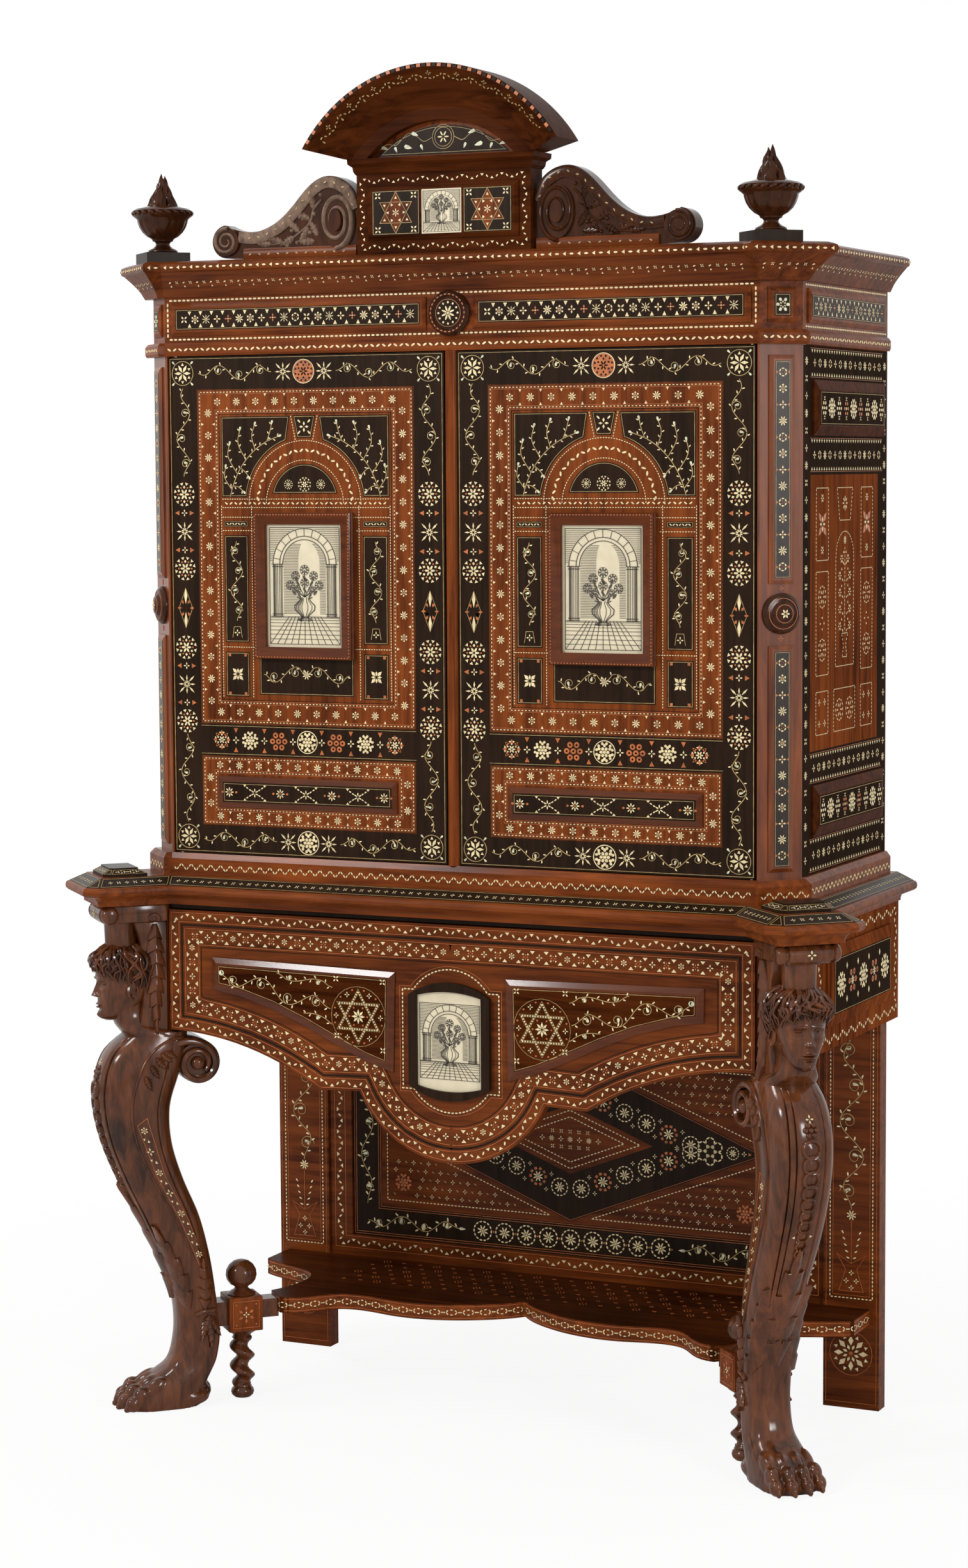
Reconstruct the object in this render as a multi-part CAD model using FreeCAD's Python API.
import FreeCAD, Part
import math
import os

V = FreeCAD.Vector
ROOT2 = math.sqrt(2)
os.makedirs("parts", exist_ok=True)

# Frame: millimetres, +Z up, front towards -Y, origin under the middle of the whole piece.

# Heights, from the floor up
CASE_UNDER = 655.0        # floor to the seat of the console posts
CASE_H = 222.0            # console posts
STAND_TOP_H = 48.0        # moulded top of the stand
BASE_H = 37.0             # plinth board of the cabinet
DOOR_H = 830.0            # door leaf
DOOR_PLAY = 1.5           # play above and below a leaf, and beside the mullion
HEAD_H = 22.0             # astragal board over the doors
FRIEZE_H = 75.0
CORNICE_H = 58.0

# Plan of the stand
DEPTH = 630.0             # whole depth
CASE_HALF = 597.0         # middle to the outside of the case
CASE_CANT = 66.0          # leg of the canted case corner
CASE_SETBACK = 125.0      # front of the corner blocks to the drawer front, all told
LEG_INSET = 8.0           # leg axis inside the middle of the cant
TOP_LIP_FRONT = 41.0      # moulded top over the drawer front
TOP_LIP_SIDE = 33.0       # moulded top over the case side
BLOCK_HALF = 64.0         # half width of that outer face
BLOCK_CORNER = 22.0       # cut corner of the block
PEDESTAL_H = 14.0
PEDESTAL_HALF = 48.0
PEDESTAL_GAP = 31.0       # plinth board to the pedestal behind it
PEDESTAL_L = 74.0
PEDESTAL_CORNER = 12.0
PEDESTAL_BEVEL = 13.0

# Plan of the cabinet
CAB_HALF = 580.0
CAB_CANT = 51.6
CAB_DEPTH = 466.0
WALL_GAP = 23.0           # cabinet back to the back of the stand
RESSAUT = 8.0             # how far the mouldings break forward over the cant
BASE_LIP = 10.0           # plinth board over the cabinet's faces
BOARD = 20.0              # side and frieze boards
BACK_T = 12.0
POST_D = 66.0             # depth of a corner post behind the door plane
POST_LIP = 3.7            # flat of the post beside the door

# Doors
LEAF_T = 26.0
EDGE_GAP = 2.3            # leaf to corner post
MULLION_HALF = 10.4
PIVOT_IN = 9.0            # pivot axis in from the two outer faces of the leaf
PIN_R = 3.0
PIN_PLAY = 0.05
PIN_IN_LEAF = 12.0
PIN_IN_BOARD = 9.0
KEY_IN = 33.0             # keyhole in from the leaf edge
KEY_UP = 408.0            # keyhole above the foot of the leaf
KEY_R, WARD_HALF, WARD_H = 2.4, 1.2, 8.0
LOCK_W, LOCK_T, LOCK_H = 58.0, 13.0, 70.0
LOCK_IN = 8.0
BOLT_L, BOLT_T, BOLT_H = 30.0, 6.0, 20.0
BOLT_PLAY = 0.5
MORTISE = 8.0

# Drawer
FRONT_T = 22.0
FRONT_PLAY = 3.0
FRONT_TOP_PLAY = 2.0
RAIL_H = 9.0              # rail over the drawer
DRAWER_BOARD = 14.0
DRAWER_BOTTOM_T = 12.0
DRAWER_CLEAR = 44.0       # drawer back to the rail behind it
DRAWER_SIDE_H = 158.0
DRAWER_IN = 19.0          # drawer side inside the front's end
LEDGE_T = 13.0            # ledge that carries the drawer
GUIDE_PLAY = 1.5
RUN_PLAY = 0.6

# Back and shelf
BACK_LEG_W = 100.0
BACK_LEG_T = 32.0
RAIL_T = 20.0
REAR_SETBACK = 6.0        # rail and panel frame behind the back legs' faces
FRAME_W = 45.0
PANEL_DIP = 8.0           # panel frame's foot below the shelf's top, behind it
FRAME_T = 24.0
PANEL_T = 12.0
PANEL_SINK = 6.0          # panel behind the front of its frame
SIDE_APRON_H = 200.0
CASE_BOARD = 20.0         # side boards of the case
SHELF_UP = 148.0
SHELF_T = 28.0
ARM_SEAT = 194.0          # cant to the shelf's arm end, inwards
POST_AXIS = 132.0         # cant to the turned post's axis, inwards
POST_BLOCK = 60.0
ARM_END = 66.0            # cant to the arm's end in the leg, inwards
ARM_HALF, ARM_H = 20.0, 42.0
ARM_STEP = 3.0            # inner arm slimmer than the outer
ARM_DOWN = 16.0           # arm below the shelf's underside
INNER_SHELF_T = 18.0
CLEAT = 15.0

# Derived levels
Y_REAR = DEPTH / 2
Y_CASE = -Y_REAR + CASE_SETBACK
Z_CASE = CASE_UNDER + CASE_H
Z_TOP = Z_CASE + STAND_TOP_H
Z_DOOR = Z_TOP + BASE_H
Z_HEAD = Z_DOOR + DOOR_H + 2 * DOOR_PLAY
Z_FRIEZE = Z_HEAD + HEAD_H
Z_CORNICE = Z_FRIEZE + FRIEZE_H
Z_CREST = Z_CORNICE + CORNICE_H
Y_BACK = Y_REAR - WALL_GAP
Y_DOOR = Y_BACK - CAB_DEPTH
S_CANT = (CASE_HALF - CASE_CANT - Y_CASE) / ROOT2
LEG_V = (CASE_HALF + Y_CASE) / ROOT2 - LEG_INSET
BLOCK_REACH = LEG_V - BLOCK_HALF + Y_REAR * ROOT2 - S_CANT
POST_X = CAB_HALF - CAB_CANT - POST_LIP
LEAF_OUT = POST_X - EDGE_GAP
LEAF_IN = MULLION_HALF + DOOR_PLAY
SIDE_IN = CAB_HALF - BOARD
BACK_IN = CASE_HALF - CASE_BOARD - BACK_LEG_W
SHELF_BACK = Y_REAR - BACK_LEG_T

PARTS = {}


def add(node, *solids):
    PARTS[node] = solids[0] if len(solids) == 1 else Part.makeCompound(list(solids))


def flip(shape):
    return shape.mirror(V(0, 0, 0), V(1, 0, 0))


def pair(node, shape):
    add(node + "_right", shape)
    add(node + "_left", flip(shape))


def both(node, *solids):
    add(node, *(solids + tuple(flip(s) for s in solids)))


def box(x0, x1, y0, y1, z0, z1):
    return Part.makeBox(x1 - x0, y1 - y0, z1 - z0, V(x0, y0, z0))


def plan_prism(points, z0, z1):
    ring = [V(x, y, z0) for x, y in points]
    face = Part.Face(Part.makePolygon(ring + ring[:1]))
    return face.extrude(V(0, 0, z1 - z0))


def front_face(edges):
    return Part.Face(Part.Wire(edges))


def line(a, b):
    return Part.makeLine(a, b)


def arc(a, b, c):
    return Part.Arc(a, b, c).toShape()


def curve(points):
    spline = Part.BSplineCurve()
    spline.interpolate(points)
    return spline.toShape()


def revolve(profile, centre, axis=V(0, 0, 1)):
    """Turned piece: profile is (radius, height) pairs along the axis from centre."""
    points = [V(0, 0, profile[0][1])] + [V(r, 0, h) for r, h in profile]
    points.append(V(0, 0, profile[-1][1]))
    clean = [points[0]]
    for p in points[1:]:
        if (p - clean[-1]).Length > 1e-6:
            clean.append(p)
    solid = Part.Face(Part.makePolygon(clean + clean[:1])).revolve(V(0, 0, 0), V(0, 0, 1), 360)
    solid.rotate(V(0, 0, 0), V(0, 0, 1).cross(axis) if axis != V(0, 0, 1) else V(0, 0, 1),
                 0 if axis == V(0, 0, 1) else math.degrees(V(0, 0, 1).getAngle(axis)))
    solid.translate(centre)
    return solid


def grow(outline, d, hold_rear=True):
    """Outline with every edge moved out by d; the rear edge can stay where it is."""
    rear = max(y for _, y in outline)
    count = len(outline)
    lines = []
    for i in range(count):
        (x0, y0), (x1, y1) = outline[i], outline[(i + 1) % count]
        length = math.hypot(x1 - x0, y1 - y0)
        nx, ny = (y1 - y0) / length, -(x1 - x0) / length
        held = hold_rear and abs(y0 - rear) < 1e-6 and abs(y1 - rear) < 1e-6
        step = 0.0 if held else d
        lines.append((nx, ny, nx * x0 + ny * y0 + step))
    grown = []
    for i in range(count):
        (a, b, e), (c, f, g) = lines[i - 1], lines[i]
        det = a * f - b * c
        grown.append(((e * f - b * g) / det, (a * g - e * c) / det))
    return grown


def skin(rings, twisted=False):
    """Solid between rings of equal point count, closed by the first and last; twisted sides are cut into triangles."""
    faces = [Part.Face(Part.makePolygon(r + r[:1])) for r in (rings[0], rings[-1])]
    for low, high in zip(rings, rings[1:]):
        for i in range(len(low)):
            j = (i + 1) % len(low)
            sides = [[low[i], low[j], high[j], high[i]]]
            if twisted:
                sides = [[low[i], low[j], high[j]], [low[i], high[j], high[i]]]
            faces += [Part.Face(Part.makePolygon(side + side[:1])) for side in sides]
    solid = Part.makeSolid(Part.makeShell(faces))
    if solid.Volume < 0:
        solid.reverse()
    return solid


def moulded(outline, profile, hold_rear=True):
    """Board with a mitred moulded edge: profile is (height, overhang) pairs upwards."""
    rings = []
    for z, d in profile:
        rings.append([V(x, y, z) for x, y in grow(outline, d, hold_rear)])
    return skin(rings)


def fielded(outline, place, height, bevel):
    """Raised field on a flat face: outline in the face, place maps (u, v, out) to space."""
    steps = ((0.0, 0.0), (height * 0.45, 0.0), (height, -bevel))
    rings = []
    for out, d in steps:
        rings.append([place(u, v, out) for u, v in grow(outline, d, False)])
    return skin(rings)


def rect(u0, u1, v0, v1):
    return [(u0, v0), (u1, v0), (u1, v1), (u0, v1)]


def on_front(y):
    return lambda u, v, out: V(u, y - out, v)


def on_side(x):
    return lambda u, v, out: V(x + out, u, v)


def on_cant(half, cant, y):
    """Face of the right canted corner: u across from its middle, v up."""
    mx, my = half - cant / 2, y + cant / 2
    return lambda u, v, out: V(mx + (u + out) / ROOT2, my + (u - out) / ROOT2, v)


def on_diagonal(shape):
    """Sets a shape drawn along a leg's own axis (x outwards from the cant, y across) in place."""
    placed = shape.copy()
    placed.translate(V(S_CANT, LEG_V, 0))
    placed.rotate(V(0, 0, 0), V(0, 0, 1), -45)
    return placed


def diagonal_point(s, v):
    return ((S_CANT + s + LEG_V + v) / ROOT2, (LEG_V + v - S_CANT - s) / ROOT2)


def ring_wire(points):
    """Smooth closed wire whose knots match those of every other ring of as many points."""
    n = len(points)
    spline = Part.BSplineCurve()
    spline.interpolate(Points=points, PeriodicFlag=True, Parameters=[k / n for k in range(n + 1)])
    return Part.Wire(spline.toShape())


def pebble(centre, long, wide, high):
    """Rounded lump with a flat top and underside, for a toe or a knuckle."""
    rings = []
    for k in range(5):
        tilt = math.radians(-60 + 30 * k)
        turns = [math.tau * i / 10 for i in range(10)]
        rings.append([centre + V(long * math.cos(tilt) * math.cos(t), wide * math.cos(tilt) * math.sin(t), high * math.sin(tilt))
                      for t in turns])
    return skin(rings)


def rounded_section(z, back, front, half):
    points = []
    for k in range(12):
        t = 2 * math.pi * k / 12
        c, s = math.cos(t), math.sin(t)
        u = math.copysign(abs(c) ** 0.72, c)
        w = math.copysign(abs(s) ** 0.72, s)
        points.append(V((back + front) / 2 + u * (front - back) / 2, w * half, z))
    return ring_wire(points)


# Front legs: (height, back, front, half width), back and front counted outwards from the cant
LEG_SECTIONS = (
    (78, -84, 1, 38), (116, -90, -10, 37), (156, -87, -12, 38), (205, -81, -5, 40),
    (262, -72, 15, 42.5), (330, -55, 46, 45), (398, -27, 79, 49), (463, -8, 105, 51),
    (525, -6, 119, 53), (578, -22, 118, 54), (622, -34, 101, 51), (CASE_UNDER, -40, 64, 44),
)
PAW_SECTIONS = ((0, -54, 82, 48), (16, -57, 84, 49), (40, -66, 58, 46), (58, -75, 26, 42), (78, -84, 1, 38))
TOE_R = 13.0
TOES = (-36.0, -12.5, 12.5, 36.0)
TOE_AT, TOE_FAN = 86.0, 0.3
KNUCKLE_AT, KNUCKLE_UP = 64.0, 30.0
VOLUTE_AT, VOLUTE_UP, VOLUTE_R, VOLUTE_HALF = -50.0, 598.0, 44.0, 43.0


def front_legs():
    leg = Part.makeLoft([rounded_section(*s) for s in LEG_SECTIONS], True, False)
    paw = Part.makeLoft([rounded_section(*s) for s in PAW_SECTIONS], True, False)
    pieces = [paw]
    for v in TOES:
        inset = abs(v) * TOE_FAN
        pieces.append(pebble(V(TOE_AT - inset, v, TOE_R * 0.866), TOE_R * 1.25, TOE_R, TOE_R))
        pieces.append(pebble(V(KNUCKLE_AT - inset, v, KNUCKLE_UP), TOE_R * 1.4, TOE_R + 1, TOE_R + 2))
    volute = Part.makeCylinder(VOLUTE_R, 2 * VOLUTE_HALF, V(VOLUTE_AT, -VOLUTE_HALF, VOLUTE_UP), V(0, 1, 0))
    eye = Part.makeCylinder(15, 2 * VOLUTE_HALF + 12, V(VOLUTE_AT, -VOLUTE_HALF - 6, VOLUTE_UP), V(0, 1, 0))
    pieces += [volute, eye]
    leg = leg.fuse(pieces)
    leg = leg.common(box(-200, 200, -100, 100, 0, CASE_UNDER))
    leg = on_diagonal(leg)
    leg = leg.cut(arm_outer())
    pair("front_leg", leg)


def arm_outer():
    """Arm from the turned post into a mortise in the hock of the leg."""
    start = -POST_AXIS + POST_BLOCK / 2
    return on_diagonal(box(start, -ARM_END, -ARM_HALF, ARM_HALF, SHELF_UP - ARM_DOWN, SHELF_UP - ARM_DOWN + ARM_H))


def arm_inner():
    half = ARM_HALF - ARM_STEP
    low = SHELF_UP - ARM_DOWN
    return on_diagonal(box(-ARM_SEAT, -POST_AXIS - POST_BLOCK / 2, -half, half, low + 8, low + ARM_H - 2))


CONSOLE_HALF = 36.0
HEAD_AT = 72.0
HEAD_ROWS = (      # height over the leg, back, front and half width of the carved head, from neck to crown
    (3, 24, 92, 36), (12, 30, 92, 28), (20, 30, 98, 25), (27, 27, 111, 27), (44, 22, 120, 35), (62, 18, 124, 40),
    (80, 14, 122, 43), (98, 11, 120, 46), (116, 12, 117, 47), (132, 18, 109, 43), (144, 30, 98, 34), (151, 46, 82, 18),
)
BRACKET = ((0, 0), (52, 0), (44, 45), (41, 105), (46, 157), (58, 190), (0, 190))      # cheek of the board behind the head


def head_ring(row):
    z, back, front, half = row
    mid, deep = (back + front) / 2, (front - back) / 2
    turns = [math.tau * k / 16 for k in range(16)]
    return [V(mid + deep * math.cos(t), half * math.sin(t), CASE_UNDER + z) for t in turns]


def consoles():
    rise = (Z_CASE - 32 - CASE_UNDER) / BRACKET[-1][1]
    side = [V(a, 0, CASE_UNDER + z * rise) for a, z in BRACKET]
    bracket = Part.Face(Part.makePolygon(side + side[:1])).extrude(V(0, 2 * CONSOLE_HALF, 0))
    bracket.translate(V(0, -CONSOLE_HALF, 0))
    block = box(0, 24, -CONSOLE_HALF, CONSOLE_HALF, Z_CASE - 32, Z_CASE)
    capital = box(24, 100, -50, 50, Z_CASE - 31, Z_CASE)
    roll = Part.makeCylinder(17, 109, V(101, -54.5, Z_CASE - 17), V(0, 1, 0))
    head = skin([head_ring(row) for row in HEAD_ROWS], True)
    foot = CASE_UNDER + HEAD_ROWS[-3][0]
    column = Part.makeCylinder(27, Z_CASE - 31 - foot, V(HEAD_AT, 0, foot))
    console = bracket.fuse([block, capital, roll, column, head])
    pair("leg_console", on_diagonal(console))


TURNING = ((15, 0), (20, 6), (20, 14), (15, 20))      # bun foot under the twist
TWIST_R, TWIST_SWING = 16.0, 6.0
TWIST_TURNS, TWIST_STEPS = 2.5, 32
KNOB = ((15, 0), (15, 4), (11, 8), (12, 11), (22, 18), (26, 26), (27, 35), (25, 45), (18, 54), (8, 61))     # ball on a neck


def twist(z0, z1):
    """Barley twist of one strand: a round section that swings round the post's axis as it climbs."""
    rings = []
    for k in range(TWIST_STEPS + 1):
        share = k / TWIST_STEPS
        turn = math.tau * TWIST_TURNS * share
        swing = TWIST_SWING * min(1.0, 8 * share, 8 * (1 - share))
        ring = []
        for i in range(12):
            t = math.tau * i / 12
            ring.append(V(-POST_AXIS + swing * math.cos(turn) + TWIST_R * math.cos(t),
                          swing * math.sin(turn) + TWIST_R * math.sin(t), z0 + share * (z1 - z0)))
        rings.append(ring)
    return skin(rings, True)


def stretcher():
    half = POST_BLOCK / 2
    mid = SHELF_UP + 3
    foot = revolve(TURNING, V(-POST_AXIS, 0, 0))
    foot = foot.fuse(twist(TURNING[-1][1] - 2, mid - half + 1))
    block = box(-POST_AXIS - half, -POST_AXIS + half, -half, half, mid - half, mid + half)
    top = mid + half
    knob = revolve(KNOB, V(-POST_AXIS, 0, top))
    both("stretcher_posts", on_diagonal(foot.fuse([block, knob])))
    both("stretcher_arms", arm_inner(), arm_outer())


SHELF_FRONT = ((18, 80), (65, 46), (155, 14), (215, 14), (270, 25), (320, 18), (355, -18))
SHELF_SIDE = ((428, 22), (420, 75), (434, 130), (490, 166))
SHELF_CUSP = 100.0
SHELF_WING = 200.0
WING_IN = 17.0


def shelf():
    inner = diagonal_point(-ARM_SEAT, -26)
    outer = diagonal_point(-ARM_SEAT, 26)
    wing = CASE_HALF - CASE_BOARD - WING_IN

    def right(points):
        return [V(x, y, SHELF_UP) for x, y in points]

    def left(points):
        return [V(-x, y, SHELF_UP) for x, y in points][::-1]

    front = [(0, SHELF_CUSP)] + list(SHELF_FRONT) + [inner]
    side = [outer] + list(SHELF_SIDE) + [(wing, SHELF_WING)]
    rear = [(wing, SHELF_WING), (wing, SHELF_BACK)]
    edges = [
        curve(right(front)), line(*right([inner, outer])), curve(right(side)), line(*right(rear)),
        line(V(wing, SHELF_BACK, SHELF_UP), V(-wing, SHELF_BACK, SHELF_UP)),
        line(*left(rear)), curve(left(side)), line(*left([inner, outer])), curve(left(front)),
    ]
    add("stretcher_shelf", front_face(edges).extrude(V(0, 0, SHELF_T)))


def back_of_stand():
    outer = CASE_HALF - CASE_BOARD
    pair("back_leg", box(BACK_IN, outer, SHELF_BACK, Y_REAR, 0, Z_CASE))
    apron = Z_CASE - SIDE_APRON_H
    y0 = SHELF_BACK + REAR_SETBACK
    add("case_back_rail", box(-BACK_IN, BACK_IN, y0, y0 + RAIL_T, apron, Z_CASE))
    low = SHELF_UP + SHELF_T - PANEL_DIP
    place = on_front(y0 + FRAME_T)
    members = []
    corners = rect(-BACK_IN, BACK_IN, low, apron)
    inner = grow(corners, -FRAME_W, False)
    for i in range(4):
        j = (i + 1) % 4
        quad = [corners[i], corners[j], inner[j], inner[i]]
        members.append(skin([[place(u, v, out) for u, v in quad] for out in (0, FRAME_T)]))
    add("back_panel_frame", *members)
    (u0, v0), (u1, v1) = inner[0], inner[2]
    add("back_panel", box(u0, u1, y0 + PANEL_SINK, y0 + PANEL_SINK + PANEL_T, v0, v1))


def case():
    apron = Z_CASE - SIDE_APRON_H
    x_in = CASE_HALF - CASE_BOARD
    y_post = Y_CASE + CASE_CANT + 24
    post = plan_prism([(CASE_HALF - CASE_CANT, Y_CASE), (CASE_HALF, Y_CASE + CASE_CANT), (CASE_HALF, y_post),
                       (CASE_HALF - CASE_CANT, y_post)], CASE_UNDER, Z_CASE)
    both("case_corner_posts", post)
    board = box(x_in, CASE_HALF, y_post, Y_REAR, apron, Z_CASE)
    field = fielded(rect(y_post + 45, Y_REAR - 50, apron + 38, Z_CASE - 34), on_side(CASE_HALF), 9, 16)
    both("case_sides", board.fuse(field).removeSplitter())
    rail = box(-(CASE_HALF - CASE_CANT), CASE_HALF - CASE_CANT, Y_CASE + 5, Y_CASE + 62, Z_CASE - RAIL_H, Z_CASE)
    slot = box(-BOLT_H / 2 - BOLT_PLAY, BOLT_H / 2 + BOLT_PLAY, Y_CASE + FRONT_T + LOCK_T / 2 - BOLT_T / 2 - BOLT_PLAY,
               Y_CASE + FRONT_T + LOCK_T / 2 + BOLT_T / 2 + BOLT_PLAY, Z_CASE - RAIL_H, Z_CASE)
    add("case_top_rail", rail.cut(slot))
    side_x = CASE_HALF - CASE_CANT - DRAWER_IN
    floor = apron + LEDGE_T + 1.0
    ledge = box(side_x - DRAWER_BOARD, x_in, y_post, SHELF_BACK, apron + 1, floor)
    guide = box(side_x + GUIDE_PLAY, x_in, y_post, SHELF_BACK, floor, floor + 30)
    lid = floor + RUN_PLAY + DRAWER_SIDE_H + GUIDE_PLAY
    kicker = box(side_x - DRAWER_BOARD, x_in, y_post, SHELF_BACK, lid, Z_CASE)
    both("drawer_runners", ledge.fuse(guide).removeSplitter(), kicker)


def block_outline():
    """Plan of the stand top at its widest line, with a diagonal block on each front corner."""
    front = Y_CASE - TOP_LIP_FRONT
    side = CASE_HALF + TOP_LIP_SIDE
    wide = BLOCK_HALF + BLOCK_CORNER
    low, high = LEG_V - wide, LEG_V + wide
    notch_front = (low * ROOT2 - front, front)
    notch_side = (side, high * ROOT2 - side)
    corner = BLOCK_REACH - BLOCK_CORNER
    right = [notch_front, diagonal_point(corner, -wide), diagonal_point(BLOCK_REACH, -BLOCK_HALF),
             diagonal_point(BLOCK_REACH, BLOCK_HALF), diagonal_point(corner, wide), notch_side, (side, Y_REAR)]
    return [(-x, y) for x, y in right][::-1] + right


def stand_top():
    z = Z_CASE
    t = STAND_TOP_H / 48.0
    profile = [(z, -29), (z + 4 * t, -29)]
    for k in range(1, 5):
        a = math.pi / 2 * k / 4
        profile.append((z + (4 + 15 * math.sin(a)) * t, -29 + 25 * (1 - math.cos(a))))
    for k in range(5):
        a = math.pi * k / 4
        profile.append((z + (26.5 - 7 * math.cos(a)) * t, -4 + 4 * math.sin(a) + 0.01))
    profile += [(z + 34.5 * t, -7), (z + STAND_TOP_H - 1, -34), (z + STAND_TOP_H, -34.5)]
    add("stand_top", moulded(block_outline(), profile))
    base_face = (CAB_HALF - CAB_CANT - Y_DOOR) / ROOT2 + RESSAUT + BASE_LIP
    back = base_face - S_CANT + PEDESTAL_GAP
    front, half, cut = back + PEDESTAL_L, PEDESTAL_HALF, PEDESTAL_CORNER
    corners = [(back, -half), (front - cut, -half), (front, -half + cut), (front, half - cut), (front - cut, half),
               (back, half)]
    rings = []
    for up, d in ((0, 0), (PEDESTAL_H * 0.3, 0), (PEDESTAL_H * 0.8, -PEDESTAL_BEVEL), (PEDESTAL_H, -PEDESTAL_BEVEL)):
        rings.append([V(u, v, Z_TOP + up) for u, v in grow(corners, d, False)])
    both("corner_pedestals", on_diagonal(skin(rings)))


def cabinet_outline(ressaut=RESSAUT):
    c = CAB_HALF - CAB_CANT
    e = ressaut / ROOT2
    right = [(c, Y_DOOR)]
    if ressaut:
        right += [(c + e, Y_DOOR - e), (CAB_HALF + e, Y_DOOR + CAB_CANT - e)]
    right += [(CAB_HALF, Y_DOOR + CAB_CANT), (CAB_HALF, Y_BACK)]
    return [(-x, y) for x, y in right][::-1] + right


def pin(z0, z1, play=0.0):
    return Part.makeCylinder(PIN_R + play, z1 - z0, V(LEAF_OUT - PIVOT_IN, Y_DOOR + PIVOT_IN, z0))


def cabinet():
    low = (Z_DOOR - PIN_IN_BOARD, Z_DOOR + DOOR_PLAY + PIN_IN_LEAF)
    high = (Z_HEAD - DOOR_PLAY - PIN_IN_LEAF, Z_HEAD + PIN_IN_BOARD)
    pins = [pin(*low), pin(*high)]
    sockets = pins + [flip(p) for p in pins]
    base = moulded(cabinet_outline(), [(Z_TOP, BASE_LIP), (Z_DOOR - 9, BASE_LIP), (Z_DOOR, BASE_LIP - 7)])
    add("base_board", base.cut(sockets))
    head = moulded(cabinet_outline(), [(Z_HEAD, 4), (Z_HEAD + 4, 6), (Z_FRIEZE - 5, 6), (Z_FRIEZE, 2)])
    add("head_board", head.cut(sockets))
    both("door_pivot_pins", *pins)
    y_post = Y_DOOR + POST_D
    post = plan_prism([(POST_X, Y_DOOR), (CAB_HALF - CAB_CANT, Y_DOOR), (CAB_HALF, Y_DOOR + CAB_CANT),
                       (CAB_HALF, y_post), (POST_X, y_post)], Z_DOOR, Z_HEAD)
    both("corner_posts", post)
    both("cabinet_sides", box(SIDE_IN, CAB_HALF, y_post, Y_BACK, Z_DOOR, Z_HEAD))
    add("cabinet_back", box(-SIDE_IN, SIDE_IN, Y_BACK - BACK_T, Y_BACK, Z_DOOR, Z_HEAD))
    shelf_front, shelf_back = y_post + 4, Y_BACK - BACK_T
    shelves, cleats = [], []
    for share in (1 / 3, 2 / 3):
        z = Z_DOOR + share * (Z_HEAD - Z_DOOR)
        shelves.append(box(-SIDE_IN, SIDE_IN, shelf_front, shelf_back, z - INNER_SHELF_T, z))
        cleats.append(box(SIDE_IN - CLEAT, SIDE_IN, shelf_front + 10, shelf_back, z - INNER_SHELF_T - CLEAT, z - INNER_SHELF_T))
    add("inner_shelves", *shelves)
    both("shelf_cleats", *cleats)
    mullion()
    posts_trim()


def mullion():
    m, y = MULLION_HALF, Y_DOOR
    stop = y + LEAF_T + 1.0
    bead = arc(V(-m, y + 4, Z_DOOR), V(0, y - 6, Z_DOOR), V(m, y + 4, Z_DOOR))
    path = [(m, y + 4), (m, stop), (m + 16, stop), (m + 16, stop + 14), (-m - 16, stop + 14), (-m - 16, stop), (-m, stop),
            (-m, y + 4)]
    edges = [bead] + [line(V(*a, Z_DOOR), V(*b, Z_DOOR)) for a, b in zip(path, path[1:])]
    solid = front_face(edges).extrude(V(0, 0, Z_HEAD - Z_DOOR))
    mid = Y_DOOR + LEAF_T - LOCK_T / 2
    z = Z_DOOR + DOOR_PLAY + KEY_UP
    slot = box(m - MORTISE, m, mid - BOLT_T / 2 - BOLT_PLAY, mid + BOLT_T / 2 + BOLT_PLAY, z - BOLT_H / 2 - BOLT_PLAY,
               z + BOLT_H / 2 + BOLT_PLAY)
    add("centre_mullion", solid.cut([slot, flip(slot)]))


PILASTER_HALF = 21.5
PILASTER_FOOT, PILASTER_HEAD = 12.0, 17.0
BOSS_R = 32.0
BOSS_UNDER, BOSS_OVER = 50.0, 46.0          # boss to the fields below and above it
FRIEZE_BOSS_R = 36.0
FRIEZE_BOSS_GAP = 6.0                       # boss to the long fields beside it
FIELD_OUT = 6.0
SIDE_FIELD_IN, SIDE_FIELD_REAR = 30.0, 22.0
SIDE_LOW, SIDE_HIGH = (60.0, 142.0), (141.0, 54.0)     # above the base, below the head
SIDE_OUT, SIDE_BEVEL = 8.0, 15.0


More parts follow.
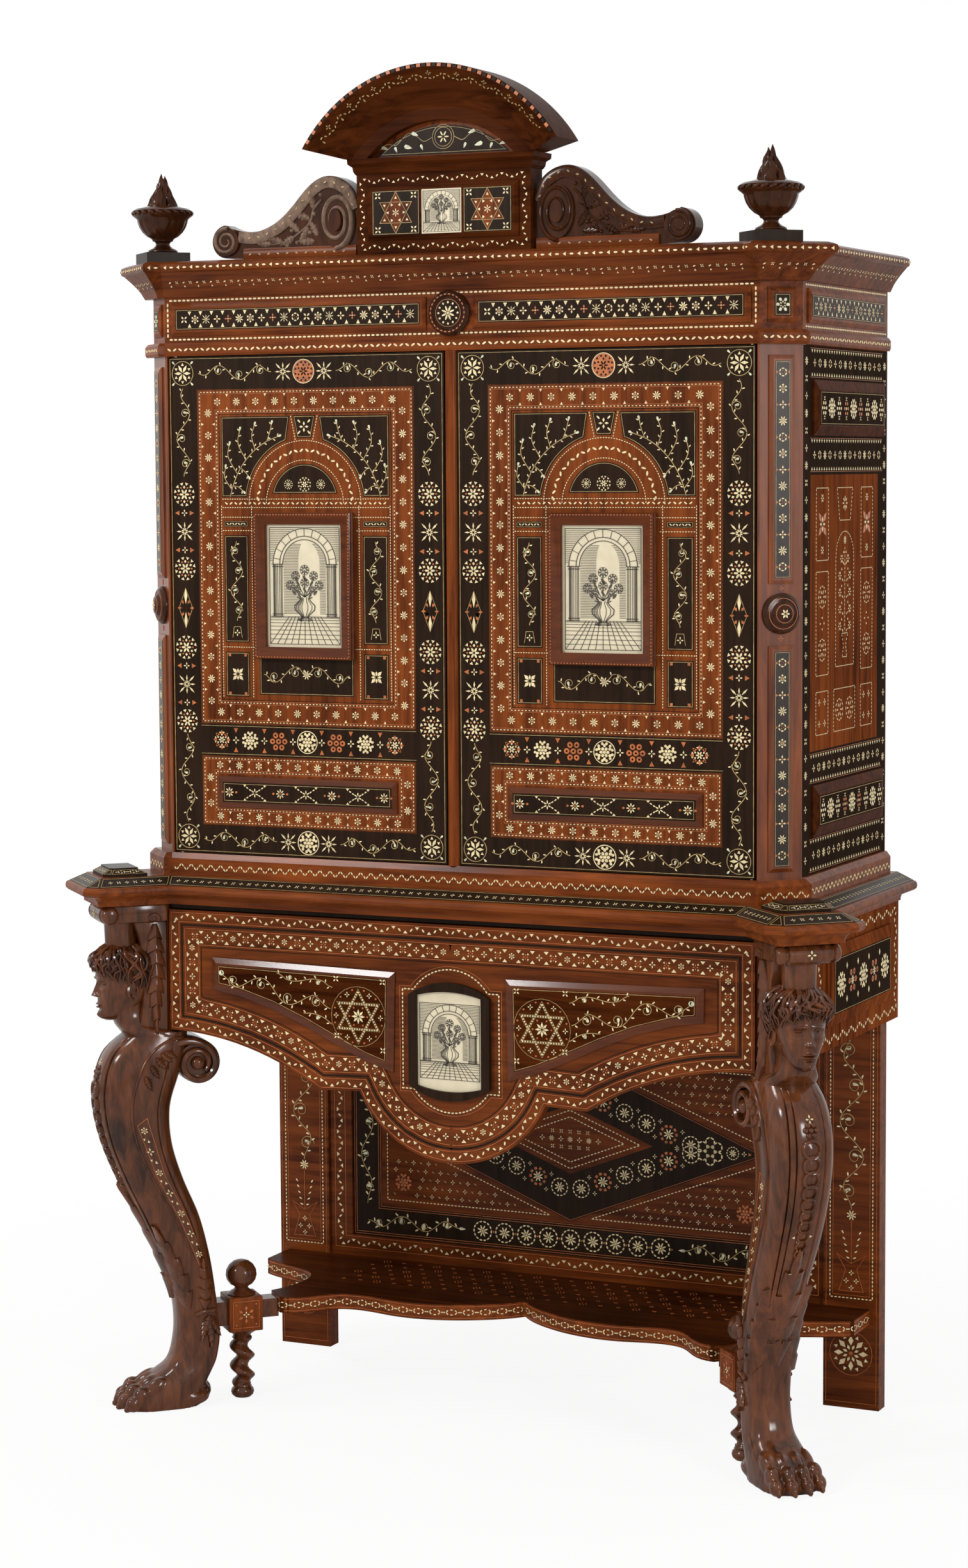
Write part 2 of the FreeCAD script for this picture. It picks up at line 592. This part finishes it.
def posts_trim():
    place = on_cant(CAB_HALF, CAB_CANT, Y_DOOR)
    boss_z = Z_DOOR + 0.502 * DOOR_H
    fields = []
    for z0, z1 in ((Z_DOOR + PILASTER_FOOT, boss_z - BOSS_UNDER), (boss_z + BOSS_OVER, Z_HEAD - PILASTER_HEAD)):
        fields.append(fielded(rect(-PILASTER_HALF, PILASTER_HALF, z0, z1), place, FIELD_OUT, 6))
    both("pilaster_panels", *fields)
    normal = V(1 / ROOT2, -1 / ROOT2, 0)
    r = BOSS_R
    turned = revolve(((r, 0), (r, 4), (r - 5, 9), (r - 12, 10), (r - 17, 14), (r - 27, 17)),
                     place(0, boss_z, 0), normal)
    r = FRIEZE_BOSS_R
    middle = revolve(((r, 0), (r, 5), (r - 4, 10), (r - 8, 10), (r - 10, 7), (r - 31, 7)),
                     V(0, Y_DOOR, (Z_FRIEZE + Z_CORNICE) / 2), V(0, -1, 0))
    add("turned_bosses", turned, flip(turned), middle)
    side = on_side(CAB_HALF)
    y0, y1 = Y_DOOR + POST_D + SIDE_FIELD_IN, Y_BACK - SIDE_FIELD_REAR
    lower = fielded(rect(y0, y1, Z_DOOR + SIDE_LOW[0], Z_DOOR + SIDE_LOW[1]), side, SIDE_OUT, SIDE_BEVEL)
    upper = fielded(rect(y0, y1, Z_HEAD - SIDE_HIGH[0], Z_HEAD - SIDE_HIGH[1]), side, SIDE_OUT, SIDE_BEVEL)
    both("side_raised_panels", lower, upper)


def frieze():
    c, d = CAB_HALF - CAB_CANT, Y_DOOR + CAB_CANT
    front = box(-c, c, Y_DOOR, Y_DOOR + BOARD, Z_FRIEZE, Z_CORNICE)
    side = plan_prism([(c, Y_DOOR), (CAB_HALF, d), (CAB_HALF, Y_BACK), (SIDE_IN, Y_BACK), (SIDE_IN, d + 8),
                       (c, Y_DOOR + BOARD)], Z_FRIEZE, Z_CORNICE)
    back = box(-SIDE_IN, SIDE_IN, Y_BACK - BACK_T, Y_BACK, Z_FRIEZE, Z_CORNICE)
    add("frieze_boards", front, side, flip(side), back)
    v0, v1 = Z_FRIEZE + 11, Z_CORNICE - 10
    long_field = fielded(rect(FRIEZE_BOSS_R + FRIEZE_BOSS_GAP, c - 14, v0, v1), on_front(Y_DOOR), 5, 6)
    cant_field = fielded(rect(-23.5, 23.5, v0, v1), on_cant(CAB_HALF, CAB_CANT, Y_DOOR), 5, 6)
    side_field = fielded(rect(d + 20, Y_BACK - 20, v0, v1), on_side(CAB_HALF), 5, 6)
    both("frieze_panels", long_field, cant_field, side_field)
    profile = [(Z_CORNICE, 5), (Z_CORNICE + 6, 8)]
    for k in range(1, 6):
        a = k / 5
        profile.append((Z_CORNICE + 6 + 32 * a, 8 + 24 * a ** 1.25))
    for k in range(5):
        a = math.pi * k / 4
        profile.append((Z_CORNICE + 47.5 - 8 * math.cos(a), 33 + 6 * math.sin(a)))
    profile.append((Z_CREST, 26))
    add("cornice", moulded(cabinet_outline(), profile))


FRAME_X = (177.0, 357.0)       # picture frame across the leaf
FRAME_Z = (330.0, 572.0)       # and above the foot of the leaf
FRAME_BAND = 20.0
PLAQUE_T = 4.0
LOWER_X, LOWER_Z = (101.0, 435.0), (79.0, 131.0)      # raised field at the foot of the leaf
LOWER_OUT, LOWER_BEVEL = 7.0, 9.0
FRAME_OUT, FRAME_BEVEL = 10.0, 5.0


def doors():
    z0 = Z_DOOR + DOOR_PLAY
    z1 = z0 + DOOR_H
    rear = Y_DOOR + LEAF_T
    a = LEAF_OUT
    turn = PIVOT_IN * (1 - 1 / ROOT2)
    edges = [
        line(V(LEAF_IN, Y_DOOR, z0), V(a - PIVOT_IN, Y_DOOR, z0)),
        arc(V(a - PIVOT_IN, Y_DOOR, z0), V(a - turn, Y_DOOR + turn, z0), V(a, Y_DOOR + PIVOT_IN, z0)),
        line(V(a, Y_DOOR + PIVOT_IN, z0), V(a, rear, z0)),
        line(V(a, rear, z0), V(LEAF_IN, rear, z0)),
        line(V(LEAF_IN, rear, z0), V(LEAF_IN, Y_DOOR, z0)),
    ]
    leaf = front_face(edges).extrude(V(0, 0, DOOR_H))
    key_x, key_z = LEAF_IN + KEY_IN, z0 + KEY_UP
    mid = rear - LOCK_T / 2
    lock_x = LEAF_IN + LOCK_IN
    lock = box(lock_x, lock_x + LOCK_W, rear - LOCK_T, rear, key_z - LOCK_H / 2, key_z + LOCK_H / 2)
    bolt_x = LEAF_IN + 1.0
    bolt = box(bolt_x, bolt_x + BOLT_L, mid - BOLT_T / 2, mid + BOLT_T / 2, key_z - BOLT_H / 2, key_z + BOLT_H / 2)
    p = BOLT_PLAY
    slot = box(LEAF_IN - 1, bolt_x + BOLT_L + p, mid - BOLT_T / 2 - p, mid + BOLT_T / 2 + p, key_z - BOLT_H / 2 - p,
               key_z + BOLT_H / 2 + p)
    keyhole = Part.makeCylinder(KEY_R, LEAF_T - LOCK_T + 1, V(key_x, Y_DOOR - 1, key_z), V(0, 1, 0))
    ward = box(key_x - WARD_HALF, key_x + WARD_HALF, Y_DOOR - 1, rear - LOCK_T, key_z - WARD_H, key_z)
    bores = [pin(z0, z0 + PIN_IN_LEAF + 1, PIN_PLAY), pin(z1 - PIN_IN_LEAF - 1, z1, PIN_PLAY)]
    pair("door", leaf.cut([lock, slot, keyhole, ward] + bores))
    pair("door_lock", lock.cut(slot))
    pair("door_bolt", bolt)
    place = on_front(Y_DOOR)
    outer = rect(*FRAME_X, z0 + FRAME_Z[0], z0 + FRAME_Z[1])
    bed = (FRAME_X[0] + FRAME_BAND, FRAME_X[1] - FRAME_BAND)
    bed_z = (z0 + FRAME_Z[0] + FRAME_BAND, z0 + FRAME_Z[1] - FRAME_BAND)
    frame = fielded(outer, place, FRAME_OUT, FRAME_BEVEL).cut(box(*bed, Y_DOOR - 20, Y_DOOR, *bed_z))
    lower = fielded(rect(*LOWER_X, z0 + LOWER_Z[0], z0 + LOWER_Z[1]), place, LOWER_OUT, LOWER_BEVEL)
    add("door_mouldings_right", frame, lower)
    add("door_mouldings_left", flip(frame), flip(lower))
    pair("door_plaque", box(*bed, Y_DOOR - PLAQUE_T, Y_DOOR, *bed_z))


APRON_STEP_X, APRON_STEP_Z = 242.0, 289.0     # end of the outer sweep, from the middle and below the front's top
LOBE_X, LOBE_DROP = 168.0, 105.0              # hanging lobe in the middle
FRONT_END_H = 206.0                           # height of the front at its outer ends
DRAWER_FIELD = ((100, 83), (444, 77), (443, 132), (392, 140), (330, 158), (270, 182), (212, 209), (160, 232), (104, 250))
ARCH_HALF, ARCH_FOOT, ARCH_HEAD, ARCH_RISE = 73.0, 266.0, 117.0, 23.0


def arch_face(inset, y, top):
    """Upright plaque outline with an arched head and foot."""
    h = ARCH_HALF - inset
    foot, head = top - ARCH_FOOT, top - ARCH_HEAD
    rise = ARCH_RISE - inset
    edges = [
        line(V(h, y, foot), V(h, y, head)),
        arc(V(h, y, head), V(0, y, head + rise), V(-h, y, head)),
        line(V(-h, y, head), V(-h, y, foot)),
        arc(V(-h, y, foot), V(0, y, foot - rise), V(h, y, foot)),
    ]
    return front_face(edges)


def drawer():
    half = CASE_HALF - CASE_CANT - FRONT_PLAY
    top = Z_CASE - RAIL_H - FRONT_TOP_PLAY
    end = top - FRONT_END_H
    step = top - APRON_STEP_Z
    y = Y_CASE
    run, fall = half - APRON_STEP_X, end - step
    radius = (run * run + fall * fall) / (2 * fall)
    mid_x = half - run / 2
    mid_z = end - radius + math.sqrt(radius * radius - run * run / 4)

    def point(x, z):
        return V(x, y, z)

    edges = [
        line(point(-half, top), point(half, top)), line(point(half, top), point(half, end)),
        arc(point(half, end), point(mid_x, mid_z), point(APRON_STEP_X, step)),
        line(point(APRON_STEP_X, step), point(LOBE_X, step + 3)),
        arc(point(LOBE_X, step + 3), point(0, step - LOBE_DROP), point(-LOBE_X, step + 3)),
        line(point(-LOBE_X, step + 3), point(-APRON_STEP_X, step)),
        arc(point(-APRON_STEP_X, step), point(-mid_x, mid_z), point(-half, end)),
        line(point(-half, end), point(-half, top)),
    ]
    front = front_face(edges).extrude(V(0, FRONT_T, 0))
    inside = y + FRONT_T
    key_z = top - 33.0
    keyhole = Part.makeCylinder(KEY_R, FRONT_T + 1, V(0, y - 1, key_z), V(0, 1, 0))
    ward = box(-WARD_HALF, WARD_HALF, y - 1, inside, key_z - WARD_H, key_z)
    add("drawer_front", front.cut([keyhole, ward]))
    lock = box(-LOCK_H / 2, LOCK_H / 2, inside, inside + LOCK_T, top - LOCK_W, top)
    mid = inside + LOCK_T / 2
    p = BOLT_PLAY
    bolt = box(-BOLT_H / 2, BOLT_H / 2, mid - BOLT_T / 2, mid + BOLT_T / 2, top - 1 - BOLT_L, top - 1)
    slot = box(-BOLT_H / 2 - p, BOLT_H / 2 + p, mid - BOLT_T / 2 - p, mid + BOLT_T / 2 + p, top - 1 - BOLT_L - p, top + 1)
    add("drawer_lock", lock.cut(slot))
    add("drawer_bolt", bolt)
    side_x = CASE_HALF - CASE_CANT - DRAWER_IN
    z0 = Z_CASE - SIDE_APRON_H + LEDGE_T + 1.0 + RUN_PLAY
    z1 = z0 + DRAWER_SIDE_H
    y1 = SHELF_BACK + REAR_SETBACK - DRAWER_CLEAR
    both("drawer_sides", box(side_x - DRAWER_BOARD, side_x, inside, y1, z0, z1))
    inner = side_x - DRAWER_BOARD
    add("drawer_bottom", box(-inner, inner, inside, y1, z0, z0 + DRAWER_BOTTOM_T))
    add("drawer_back", box(-inner, inner, y1 - DRAWER_BOARD, y1, z0 + DRAWER_BOTTOM_T, z1))
    field = [(x, top - d) for x, d in DRAWER_FIELD][::-1]
    both("drawer_raised_panels", fielded(field, on_front(y), 6, 9))
    frame = arch_face(0, y - 9, top).extrude(V(0, 9, 0))
    opening = arch_face(15, y - 10, top).extrude(V(0, 10, 0))
    add("drawer_plaque_frame", frame.cut(opening))
    add("drawer_plaque", arch_face(15, y - PLAQUE_T, top).extrude(V(0, PLAQUE_T, 0)))


URN_PROFILE = (
    (22, 0), (24, 4), (13, 9), (11, 15), (20, 22), (34, 34), (43, 48), (50, 60), (52.5, 65), (52.5, 69),
    (44, 71), (40, 77), (27, 84), (19, 90), (24, 98), (22, 108), (15, 120), (7, 128), (2, 133),
)
URN_X, URN_Y = 40.0, 34.0
URN_PLINTH, URN_PLINTH_H = 74.0, 17.0
CREST_HALF, CREST_H, CREST_T, CREST_LEAD = 153.5, 127.0, 45.0, 24.0
CAP_H = 25.0
HOOD_DROP = 122.0          # hood centre below the cap
HOOD_R, HOOD_BAND, HOOD_FLARE = 178.0, 20.0, 262.0
HOOD_LEAD = 61.0           # flare in front of the tympanum
TYMPANUM_T = 26.0
SCROLL_T = 32.0
SCROLL_TOP = ((0, 78), (14, 110), (40, 127), (66, 129), (92, 116), (120, 88), (152, 60), (190, 45), (222, 47), (250, 57))
SCROLL_EYE, SCROLL_EYE_UP, SCROLL_EYE_R = 247.0, 30.0, 27.0
VOLUTE_IN, VOLUTE_RISE = 42.0, 58.0                    # great volute beside the crest block
VOLUTE_W, VOLUTE_H, VOLUTE_OUT = 28.0, 42.0, 5.0
EYE_W, EYE_H = 11.0, 18.0


def urns():
    x, y = CAB_HALF - URN_X, Y_DOOR + CAB_CANT - URN_Y
    h = URN_PLINTH / 2
    base = box(-h, h, -h, h, 0, URN_PLINTH_H)
    base.rotate(V(0, 0, 0), V(0, 0, 1), 45)
    base.translate(V(x, y, Z_CREST))
    both("urn_plinths", base)
    both("urns", revolve(URN_PROFILE, V(x, y, Z_CREST + URN_PLINTH_H)))


def crest():
    front = Y_DOOR - CREST_LEAD
    top = Z_CREST + CREST_H
    block = box(-CREST_HALF, CREST_HALF, front, front + CREST_T, Z_CREST, top)
    field = fielded(rect(-CREST_HALF + 20, CREST_HALF - 20, Z_CREST + 22, top - 19), on_front(front), 5, 6)
    mid = (Z_CREST + 22 + top - 19) / 2
    plaque = 35.0
    bed = box(-plaque, plaque, front - 5, front - 2, mid - plaque, mid + plaque)
    add("crest_block", block.fuse(field).removeSplitter().cut(bed))
    add("crest_plaque", bed)
    plan = [(-CREST_HALF, front), (CREST_HALF, front), (CREST_HALF, front + CREST_T), (-CREST_HALF, front + CREST_T)]
    z = top + CAP_H
    add("crest_cap", moulded(plan, [(top, 1), (top + 5, 4), (top + 12, 5), (z - 8, 11), (z, 11.5)], False))
    centre = z - HOOD_DROP
    wide = math.sqrt(HOOD_R ** 2 - HOOD_DROP ** 2)
    y0 = front + 4.0
    tympanum = front_face([
        line(V(-wide, y0, z), V(wide, y0, z)),
        arc(V(wide, y0, z), V(0, y0, centre + HOOD_R), V(-wide, y0, z)),
    ]).extrude(V(0, TYMPANUM_T, 0))
    add("crest_tympanum", tympanum)
    band = HOOD_R + HOOD_BAND
    lip = y0 - HOOD_LEAD
    rear = y0 + TYMPANUM_T
    ring = [(HOOD_R, rear), (HOOD_R, y0 - 16), (band, y0 - 16), (band + 14, y0 - 24), (band + 30, y0 - 36),
            (HOOD_FLARE - 7, lip), (HOOD_FLARE, lip + 1), (HOOD_FLARE, rear)]
    points = [V(r, y, centre) for r, y in ring]
    hood = Part.Face(Part.makePolygon(points + points[:1])).revolve(V(0, 0, centre), V(0, 1, 0), -180)
    slope = 0.278
    far = HOOD_FLARE + 40
    keep = [V(-band + 30, -400, z), V(band - 30, -400, z), V(far, -400, z + slope * (far - band + 30)), V(far, -400, z + 400),
            V(-far, -400, z + 400), V(-far, -400, z + slope * (far - band + 30))]
    add("crest_hood", hood.common(Part.Face(Part.makePolygon(keep + keep[:1])).extrude(V(0, 500, 0))))
    scrolls(front + 12.0)


def scrolls(y):
    def point(u, w):
        return V(CREST_HALF + u, y, Z_CREST + w)

    eye = SCROLL_EYE
    end = eye + SCROLL_EYE_R
    edges = [
        line(point(0, 0), point(0, SCROLL_TOP[0][1])),
        curve([point(u, w) for u, w in SCROLL_TOP]),
        arc(point(*SCROLL_TOP[-1]), point(end, SCROLL_EYE_UP), point(eye, SCROLL_EYE_UP - SCROLL_EYE_R)),
        line(point(eye, SCROLL_EYE_UP - SCROLL_EYE_R), point(eye - 60, 0)),
        line(point(eye - 60, 0), point(0, 0)),
    ]
    scroll = front_face(edges).extrude(V(0, SCROLL_T, 0))
    rounds = [(VOLUTE_IN, VOLUTE_RISE, VOLUTE_W, VOLUTE_H, VOLUTE_OUT), (VOLUTE_IN, VOLUTE_RISE, EYE_W, EYE_H, 2 * VOLUTE_OUT),
              (eye, SCROLL_EYE_UP, SCROLL_EYE_R - 3, SCROLL_EYE_R - 3.5, VOLUTE_OUT)]
    for u, w, wide, high, out in rounds:
        oval = Part.Ellipse(V(0, 0, 0), max(wide, high), min(wide, high)).toShape()
        disc = Part.Face(Part.Wire(oval)).extrude(V(0, 0, out + 2))
        if high > wide:
            disc.rotate(V(0, 0, 0), V(0, 0, 1), 90)
        disc.rotate(V(0, 0, 0), V(1, 0, 0), 90)
        disc.translate(point(u, w) + V(0, 2, 0))
        scroll = scroll.fuse(disc)
    both("crest_scrolls", scroll.removeSplitter())


def main():
    for build in (back_of_stand, front_legs, consoles, stretcher, shelf, case, stand_top, drawer, cabinet, frieze, doors, urns,
                  crest):
        build()
    for node, shape in PARTS.items():
        shape.exportStep("parts/" + node + ".step")


main()
